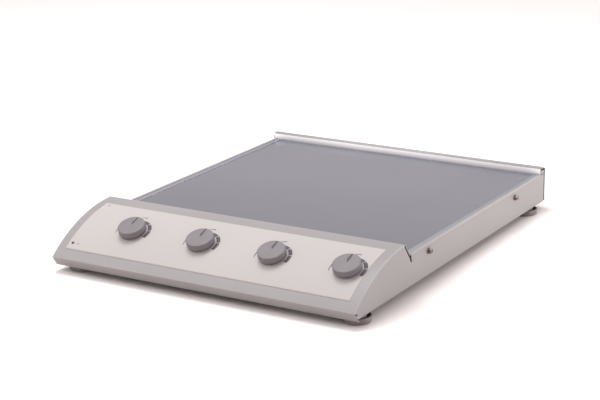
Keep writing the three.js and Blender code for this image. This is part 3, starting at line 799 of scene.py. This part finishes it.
def deck_frame():
    """The satin strip round three sides of the plate."""
    low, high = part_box("deck_frame")
    inner_x = plate_high.x + PLATE_GAP
    inner_y = plate_low.y - PLATE_GAP
    outside = [(low.x, high.y), (low.x, low.y), (high.x, low.y), (high.x, high.y)]
    inside = [(inner_x, high.y), (inner_x, inner_y), (-inner_x, inner_y), (-inner_x, high.y)]
    outline = outside + inside
    bm = bmesh.new()
    bottom = [bm.verts.new((x, y, low.z)) for x, y in outline]
    top = [bm.verts.new((x, y, high.z)) for x, y in outline]
    bm.faces.new(bottom)
    bm.faces.new(top)
    for i in range(len(outline)):
        j = (i + 1) % len(outline)
        bm.faces.new((bottom[i], bottom[j], top[j], top[i]))
    ring = object_from(bm, "deck_strip", STRIP)
    bevel(ring, 0.6 * MM, 3)
    settle(ring, "case", "frame", "deck_frame")


RIM_INSET = 1.8 * MM
RETURN_THICK = 2.4 * MM
RETURN_TOP = 64.8 * MM


def rear_rim():
    """Upstand behind the plate: a bent sheet, a side return and a small top cap at each end."""
    low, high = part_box("rear_rim")
    wall_x = HALF_W - RIM_INSET
    profile = [(low.y, low.z), (low.y, high.z), (high.y, high.z)]
    sheet = swept_sheet("rim_sheet", profile, -wall_x, wall_x, SHEET, 1.6 * MM, PAINT)
    pieces = [sheet]
    for sign in (-1, 1):
        outer = sign * HALF_W
        x0, x1 = sorted((outer, sign * (HALF_W - RETURN_THICK)))
        return_low = (x0, low.y + 0.2 * MM, SIDE_TOP + 0.3 * MM)
        return_high = (x1, high.y, RETURN_TOP)
        pieces.append(box_mesh("return", return_low, return_high, PAINT, 0.4 * MM))
        x0, x1 = sorted((outer, sign * (wall_x - 0.3 * MM)))
        cap_low = (x0, low.y + 1.2 * MM, high.z - SHEET)
        cap_high = (x1, high.y, high.z)
        pieces.append(box_mesh("cap", cap_low, cap_high, PAINT, 0.3 * MM))
    rim = joined("rear_rim_sheet", pieces)
    # The front-facing inner wall takes the near-white coat: painted light on the wall.
    rim.data.materials.append(WALL_LIGHT_PAINT)
    for face in rim.data.polygons:
        inside = abs(face.center.x) < wall_x and face.center.z < high.z - SHEET
        if inside and face.normal.y < -0.7:
            face.material_index = 1
    settle(rim, "case", "case_paint", "rear_rim")


work_plate()
deck_frame()
rear_rim()
settle(refined("rear_panel", "rear_panel_sheet", DARK_PAINT, 0.3 * MM), "case", "rear_paint", "rear_panel")

INLET_CENTRE = Vector((-190 * MM, 0, 36 * MM))
PIN_PLACES = ((-7 * MM, -2 * MM), (0, 2 * MM), (7 * MM, -2 * MM))
PIN_HALF_X = 1.3 * MM
PIN_HALF_Z = 2.3 * MM
PIN_ROOT_Y = 300.5 * MM
PIN_TIP_Y = 314 * MM


def power_inlet():
    """Inlet body with its three contact pins in plated metal."""
    inlet = refined("power_inlet", "inlet_body", BLACK, 0.3 * MM)
    inlet.data.materials.append(SCREW)
    for face in inlet.data.polygons:
        x, y, z = face.center - INLET_CENTRE
        for pin_x, pin_z in PIN_PLACES:
            beside = abs(x - pin_x) < PIN_HALF_X and abs(z - pin_z) < PIN_HALF_Z
            if beside and PIN_ROOT_Y < y < PIN_TIP_Y:
                face.material_index = 1
    settle(inlet, "case", "black_plastic", "power_inlet")


power_inlet()
housing = refined("switch_housing", "switch_frame", BLACK, 0.35 * MM)
settle(housing, "case", "black_plastic", "switch_housing")
rocker = refined("switch_rocker", "rocker_cap", BLACK, 0.4 * MM, 3)
settle(rocker, "rocker_body", "black_plastic", "switch_rocker")
supply = refined("power_supply", "supply_can", ZINC, 0.8 * MM)
settle(supply, "case", "zinc", "power_supply")


# ------------------------------------------------------------------ screws, feet and indicator
WASHER_R = 4.5 * MM
WASHER_LOW = 0.3 * MM
WASHER_TOP = 1.3 * MM
HEAD_R = 3.8 * MM
SHANK_R = 1.9 * MM
SHANK_END = -7 * MM


def side_screw(number):
    """Cheese head screw with a washer, standing out of the side panel."""
    low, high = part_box(f"side_screw_{number}")
    sign = 1 if high.x > 0 else -1
    centre_y = (low.y + high.y) / 2
    centre_z = (low.z + high.z) / 2
    head_top = (high.x if sign > 0 else -low.x) - HALF_W
    turn = Matrix.Rotation(sign * math.pi / 2, 4, "Y")
    place = Matrix.Translation((sign * HALF_W, centre_y, centre_z)) @ turn
    disc = [(0, WASHER_LOW), (WASHER_R, WASHER_LOW), (WASHER_R, WASHER_TOP), (0, WASHER_TOP)]
    # The washer's dark steel partly paints in the shade beside the screw head.
    washer = lathe(f"washer_{number}", rounded(disc, 0.25 * MM, 3), SHADED_WASHER_STEEL, 48, place)
    profile = [
        (0, WASHER_TOP),
        (HEAD_R, WASHER_TOP),
        (HEAD_R, head_top - 0.1 * MM),
        (HEAD_R - 0.8 * MM, head_top),
        (0, head_top),
    ]
    head = lathe("screw_head", rounded(profile, 0.5 * MM, 3), BROWN_STEEL, 48)
    slot_low = (-2.5 * MM, -0.6 * MM, head_top - 1.8 * MM)
    slot_high = (2.5 * MM, 0.6 * MM, head_top + MM)
    for angle in (0, math.pi / 2):
        slot = box_mesh("slot", slot_low, slot_high, BROWN_STEEL, 0.0)
        slot.data.transform(Matrix.Rotation(angle + 0.4 * number, 4, "Z"))
        cut(head, slot)
    bolt = [(0, SHANK_END), (SHANK_R, SHANK_END), (SHANK_R, 0.6 * MM), (0, 0.6 * MM)]
    shank = lathe("shank", bolt, BROWN_STEEL, 32)
    screw = joined(f"screw_{number}", [head, shank])
    screw.data.transform(place)
    bevel(screw, 0.12 * MM, 2, 40)
    settle(washer, "case", "steel")
    settle(screw, "case", "steel", f"side_screw_{number}")


FOOT_WELL_R = 4.5 * MM
FOOT_WELL_Z = 3 * MM
FOOT_EDGE_Z = 9.2 * MM
FOOT_GROOVE_Z = 4.6 * MM
FOOT_TOP_Z = 12.4 * MM


def foot(number):
    """Rubber foot: rounded tread, tapered wall, ring groove, neck and a screw well below."""
    low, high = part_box(f"foot_{number}")
    centre = Matrix.Translation(((low.x + high.x) / 2, (low.y + high.y) / 2, 0))
    r = (high.x - low.x) / 2
    profile = [
        (0, FOOT_WELL_Z),
        (FOOT_WELL_R, FOOT_WELL_Z),
        (FOOT_WELL_R, 0),
        (r - 2.2 * MM, 0),
        (r - 1.0 * MM, 1.2 * MM),
        (r, FOOT_EDGE_Z - 0.8 * MM),
        (r - 0.4 * MM, FOOT_EDGE_Z),
        (r - 2.0 * MM, FOOT_EDGE_Z),
        (r - 2.4 * MM, FOOT_GROOVE_Z),
        (12.6 * MM, FOOT_GROOVE_Z),
        (12.4 * MM, FOOT_TOP_Z),
        (0, FOOT_TOP_Z),
    ]
    body = lathe(f"foot_rubber_{number}", rounded(profile, 0.8 * MM, 4), RUBBER, 96, centre)
    settle(body, "case", "foot_rubber", f"foot_{number}")


for number in range(1, 5):
    side_screw(number)
    foot(number)


LED_Y = -294 * MM
LED_R = 2.4 * MM
LED_DEPTH = -6 * MM


def indicator():
    """Small dark lens with a low dome, let into the label."""
    low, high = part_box("power_led")
    x = (low.x + high.x) / 2
    lens = [
        (0, LED_DEPTH),
        (LED_R, LED_DEPTH),
        (LED_R, 0.45 * MM),
        (LED_R - 0.7 * MM, 0.75 * MM),
        (0, 0.95 * MM),
    ]
    led = lathe("indicator_lens", rounded(lens, 0.3 * MM, 3), LENS, 40, face_matrix(x, LED_Y))
    settle(led, "case", "lens", "power_led")


indicator()


# ------------------------------------------------------------------ small printed marks
MARK_V = 34.2 * MM
BAR_COUNT = 5
BAR_START = -6.0 * MM
BAR_PITCH = 1.8 * MM
BAR_WIDTH = 1.25 * MM
MARK_STEPS = 24
POWER_MARK = (-219.4 * MM, LED_Y)
STIR_MARK = (-226.3 * MM, -207.3 * MM)


def broken_ring(name, inner, outer, start, sweep, place):
    """A flat printed ring from a start angle over a sweep, in degrees from the top."""
    rows = [[], []]
    for i in range(MARK_STEPS + 1):
        a = math.radians(start + sweep * i / MARK_STEPS)
        rows[0].append((inner * math.sin(a), inner * math.cos(a)))
        rows[1].append((outer * math.sin(a), outer * math.cos(a)))
    return laid_grid(name, rows, PRINT, PRINT_LIFT, PRINT_THICK, *place)


def speed_mark(number, x):
    """Little bars above a knob, each taller than the last, for more speed."""
    bars = []
    for k in range(BAR_COUNT):
        u = BAR_START + BAR_PITCH * k
        height = (1.2 + 0.4 * k) * MM
        wide = u + BAR_WIDTH
        rows = [[(u, MARK_V), (wide, MARK_V)], [(u, MARK_V + height), (wide, MARK_V + height)]]
        bars.append(laid_grid("bar", rows, PRINT, PRINT_LIFT, PRINT_THICK, x))
    settle(joined(f"speed_mark_{number}", bars), "case", "label")


def power_mark():
    """The usual broken ring and stroke beside the indicator."""
    ring = broken_ring("ring", 1.15 * MM, 1.55 * MM, 35, 290, POWER_MARK)
    half = 0.22 * MM
    rows = [[(-half, 0.3 * MM), (half, 0.3 * MM)], [(-half, 1.8 * MM), (half, 1.8 * MM)]]
    stroke = laid_grid("stroke", rows, PRINT, PRINT_LIFT, PRINT_THICK, *POWER_MARK)
    settle(joined("power_mark", [ring, stroke]), "case", "label")


def stir_mark():
    """A ring open at the bottom right with an arrow head, for stirring."""
    ring = broken_ring("ring", 1.5 * MM, 2.1 * MM, -150, 270, STIR_MARK)
    tip_top = [(0.9 * MM, -0.9 * MM), (2.7 * MM, -0.9 * MM)]
    tip_end = [(1.7 * MM, -2.2 * MM), (1.9 * MM, -2.2 * MM)]
    head = laid_grid("head", [tip_top, tip_end], PRINT, PRINT_LIFT, PRINT_THICK, *STIR_MARK)
    settle(joined("stir_mark", [ring, head]), "case", "label")


for number, knob_x in enumerate(KNOB_X, 1):
    speed_mark(number, knob_x)
power_mark()
stir_mark()


# ------------------------------------------------------------------ rear details
REAR_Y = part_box("rear_panel")[1].y
PAN_R = 3.2 * MM
PAN_TOP = 1.25 * MM
ROCKER_REST = math.radians(8)


def rear_screw(number, x, z):
    """Pan head screw with a cross recess, holding the rear panel."""
    profile = [(0, 0), (PAN_R, 0), (PAN_R - 0.2 * MM, PAN_TOP), (0, PAN_TOP)]
    head = lathe("pan_head", rounded(profile, 0.5 * MM, 4), SCREW, 40)
    slot_low = (-1.7 * MM, -0.4 * MM, 0.5 * MM)
    slot_high = (1.7 * MM, 0.4 * MM, 3 * MM)
    for angle in (0, math.pi / 2):
        slot = box_mesh("slot", slot_low, slot_high, SCREW, 0.0)
        slot.data.transform(Matrix.Rotation(angle + 0.7 * number, 4, "Z"))
        cut(head, slot)
    place = Matrix.Translation((x, REAR_Y, z)) @ Matrix.Rotation(-math.pi / 2, 4, "X")
    head.data.transform(place)
    head.name = f"rear_screw_{number}"
    bevel(head, 0.1 * MM, 2, 40)
    settle(head, "case", "steel")


def rocker_marks():
    """A stroke and a ring, printed white on the two halves of the rocker."""
    face_y = 3.5 * MM
    thick = 0.4 * MM
    pivot = Vector(JOINTS["switch_rock"]["pos_m"])
    face = Matrix.Translation(pivot) @ Matrix.Rotation(ROCKER_REST, 4, "X")
    stroke_low = (-0.35 * MM, face_y, 2.6 * MM)
    stroke_high = (0.35 * MM, face_y + thick, 5.4 * MM)
    stroke = box_mesh("stroke", stroke_low, stroke_high, WHITE_PRINT, 0.0)
    stroke.data.transform(face)
    inner = 0.9 * MM
    outer = 1.35 * MM
    section = [(inner, 0), (outer, 0), (outer, thick), (inner, thick), (inner, 0)]
    lay = Matrix.Translation((0, face_y, -4 * MM)) @ Matrix.Rotation(-math.pi / 2, 4, "X")
    ring = lathe("ring", section, WHITE_PRINT, 32, lay)
    ring.data.transform(face)
    marks = joined("rocker_marks", [stroke, ring])
    settle(marks, "rocker_body", "black_plastic")


REAR_SCREWS = [(x * MM, z * MM) for x in (-238, -60, 30, 238) for z in (19.5, 60)]
for number, (x, z) in enumerate(REAR_SCREWS, 1):
    rear_screw(number, x, z)
rocker_marks()

# ------------------------------------------------------------------ CAD nodes kept as they are
CARRIED = {
    "base_pan": PAINT,
    "drive_tray": ZINC,
    "control_board": BOARD,
    "rotor": MAGNET,
    "drive_belt": BELT,
    "drive_motor": ZINC,
    "potentiometer": ZINC,
    "pot_shaft": SCREW,
}
for name, node in frame["nodes"].items():
    for prefix, material in CARRIED.items():
        if name.startswith(prefix):
            node.data.materials.clear()
            node.data.materials.append(material)
